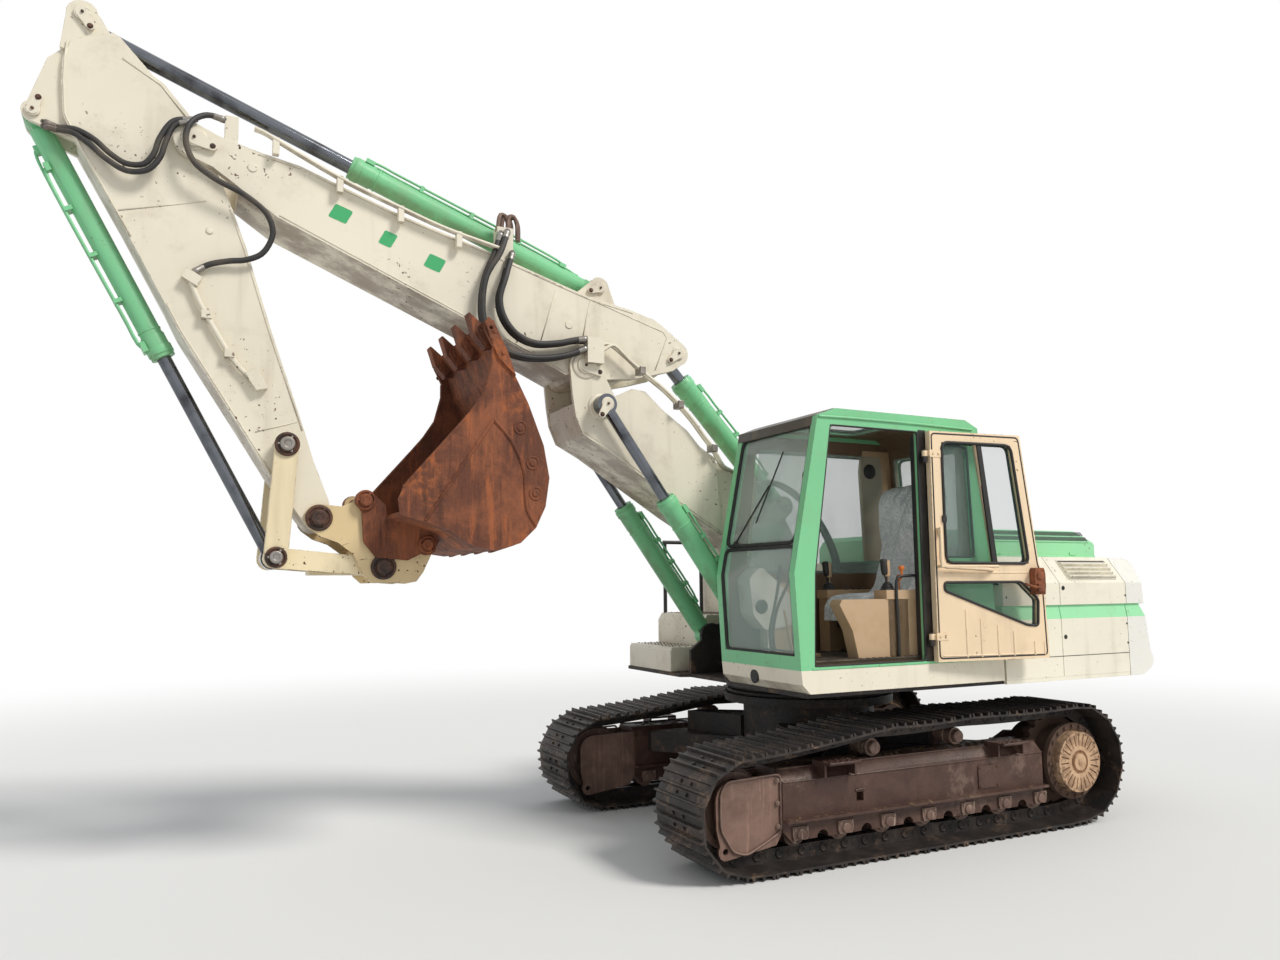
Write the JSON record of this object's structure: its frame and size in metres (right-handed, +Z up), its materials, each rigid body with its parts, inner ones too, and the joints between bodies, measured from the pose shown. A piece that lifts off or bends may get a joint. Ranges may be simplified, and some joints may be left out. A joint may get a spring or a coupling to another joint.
{
  "type": "crawler excavator",
  "caption": "Crawler excavator with two-piece boom, stick, quick coupler and bucket on a slewing upper structure with an open cab door.",
  "frame": {"origin": "middle of the bounding box on the ground", "axes": "+X forward toward the bucket, +Y to the operator's left, +Z up"},
  "size_m": [8.3638, 2.905, 5.3727],
  "materials": {
    "cream_paint": "satin",
    "mint_paint": "satin",
    "dark_frame": "matt",
    "track_steel": "worn",
    "rusty_steel": "rusted",
    "drive_steel": "dusty",
    "rod_chrome": "polished",
    "window_glass": "clear",
    "cab_plastic": "matt",
    "chair_cover": "plain",
    "black_tube": "satin"
  },
  "bodies": {
    "undercarriage": {"car_body": "dark_frame", "track_frame_left": "dark_frame", "track_frame_right": "dark_frame", "track_left": "track_steel", "track_right": "track_steel", "idler_left": "track_steel", "idler_right": "track_steel", "drive_left": "drive_steel", "drive_right": "drive_steel", "rollers_left": "track_steel", "rollers_right": "track_steel"},
    "upper_structure": {"upper_frame": "dark_frame", "counterweight": "cream_paint", "side_panels_left": "cream_paint", "side_panels_right": "cream_paint", "engine_block": "dark_frame", "engine_hood": "mint_paint", "cab_shell": "cream_paint", "cab_windows": "window_glass", "operator_chair": "chair_cover", "cab_consoles": "cab_plastic", "tank_and_steps": "cream_paint", "handrail": "black_tube"},
    "door": {"cab_door": "cream_paint", "door_window": "window_glass"},
    "base_boom": {"base_boom": "cream_paint"},
    "upper_boom": {"upper_boom": "cream_paint"},
    "stick": {"stick": "cream_paint"},
    "tipping_link": {"tipping_link": "cream_paint"},
    "power_link": {"power_link": "cream_paint"},
    "bucket": {"coupler": "track_steel", "bucket": "rusty_steel"},
    "boom_barrels": {"boom_barrel_left": "mint_paint", "boom_barrel_right": "mint_paint"},
    "boom_rods": {"boom_rod_left": "rod_chrome", "boom_rod_right": "rod_chrome"},
    "adjust_barrel": {"adjust_barrel": "mint_paint"},
    "adjust_rod": {"adjust_rod": "rod_chrome"},
    "arm_barrel": {"arm_barrel": "mint_paint"},
    "arm_rod": {"arm_rod": "rod_chrome"},
    "bucket_barrel": {"bucket_barrel": "mint_paint"},
    "bucket_rod": {"bucket_rod": "rod_chrome"}
  },
  "joints": [
    {"name": "slew", "type": "hinge", "parent": "undercarriage", "child": "upper_structure", "pos_m": [-1.417, -0.08747, 1.04], "axis": [0, 0, 1], "continuous": true},
    {"name": "door_swing", "type": "hinge", "parent": "upper_structure", "child": "door", "pos_m": [-1.462, 1.29753, 2], "axis": [0, 0, -1], "range_deg": [-4, 173.5]},
    {"name": "boom_lift", "type": "hinge", "parent": "upper_structure", "child": "base_boom", "pos_m": [-1.247, -0.15947, 1.86], "axis": [0, -1, 0], "range_deg": [-45, 32]},
    {"name": "boom_fold", "type": "hinge", "parent": "base_boom", "child": "upper_boom", "pos_m": [0.634, -0.15947, 3.399], "axis": [0, 1, 0], "range_deg": [0, 45]},
    {"name": "stick_swing", "type": "hinge", "parent": "upper_boom", "child": "stick", "pos_m": [3.256, -0.15947, 4.592], "axis": [0, -1, 0], "range_deg": [0, 112]},
    {"name": "bucket_curl", "type": "hinge", "parent": "stick", "child": "bucket", "pos_m": [2.443, -0.15947, 2.253], "axis": [0, -1, 0], "range_deg": [0, 150]},
    {"name": "boom_barrel_turn", "type": "hinge", "parent": "upper_structure", "child": "boom_barrels", "pos_m": [-0.717, -0.15947, 1.4], "axis": [0, -1, 0], "range_deg": [-45.85, 32.75]},
    {"name": "boom_rod_slide", "type": "slide", "parent": "boom_barrels", "child": "boom_rods", "axis": [0.5848, 0, 0.8112], "range_m": [-0.5141, 0.3667]},
    {"name": "adjust_barrel_turn", "type": "hinge", "parent": "base_boom", "child": "adjust_barrel", "pos_m": [-1.217, -0.15947, 2.44], "axis": [0, -1, 0], "range_deg": [0, 2.7]},
    {"name": "adjust_rod_slide", "type": "slide", "parent": "adjust_barrel", "child": "adjust_rod", "axis": [0.6805, 0, 0.7327], "range_m": [0, 0.623]},
    {"name": "arm_barrel_turn", "type": "hinge", "parent": "upper_boom", "child": "arm_barrel", "pos_m": [0.461, -0.15947, 4.034], "axis": [0, -1, 0], "range_deg": [0, 5.41]},
    {"name": "arm_rod_slide", "type": "slide", "parent": "arm_barrel", "child": "arm_rod", "axis": [0.9395, 0, 0.3426], "range_m": [-1.5489, 0]},
    {"name": "bucket_barrel_turn", "type": "hinge", "parent": "stick", "child": "bucket_barrel", "pos_m": [4.12, -0.15947, 4.634], "axis": [0, -1, 0], "range_deg": [0, 5.35]},
    {"name": "bucket_rod_slide", "type": "slide", "parent": "bucket_barrel", "child": "bucket_rod", "axis": [-0.4753, 0, -0.8798], "range_m": [-1.0588, 0]},
    {"name": "tipping_link_turn", "type": "hinge", "parent": "stick", "child": "tipping_link", "pos_m": [2.652, -0.15947, 2.708], "axis": [0, -1, 0], "range_deg": [0, 98.93]},
    {"name": "power_link_turn", "type": "hinge", "parent": "tipping_link", "child": "power_link", "pos_m": [2.697, -0.15947, 2], "axis": [0, -1, 0], "range_deg": [-49.96, 0]}
  ],
  "couplings": [
    {"joint": "boom_barrel_turn", "follows": "boom_lift", "ratio": 1.0078},
    {"joint": "boom_rod_slide", "follows": "boom_lift", "m_per_rad": 0.6495},
    {"joint": "adjust_barrel_turn", "follows": "boom_fold", "ratio": 0.0488},
    {"joint": "adjust_rod_slide", "follows": "boom_fold", "m_per_rad": 0.7881},
    {"joint": "arm_barrel_turn", "follows": "stick_swing", "ratio": 0.0438},
    {"joint": "arm_rod_slide", "follows": "stick_swing", "m_per_rad": -0.7903},
    {"joint": "bucket_barrel_turn", "follows": "bucket_curl", "ratio": 0.0323},
    {"joint": "bucket_rod_slide", "follows": "bucket_curl", "m_per_rad": -0.4029},
    {"joint": "tipping_link_turn", "follows": "bucket_curl", "ratio": 0.65618},
    {"joint": "power_link_turn", "follows": "bucket_curl", "ratio": -0.32975}
  ]
}
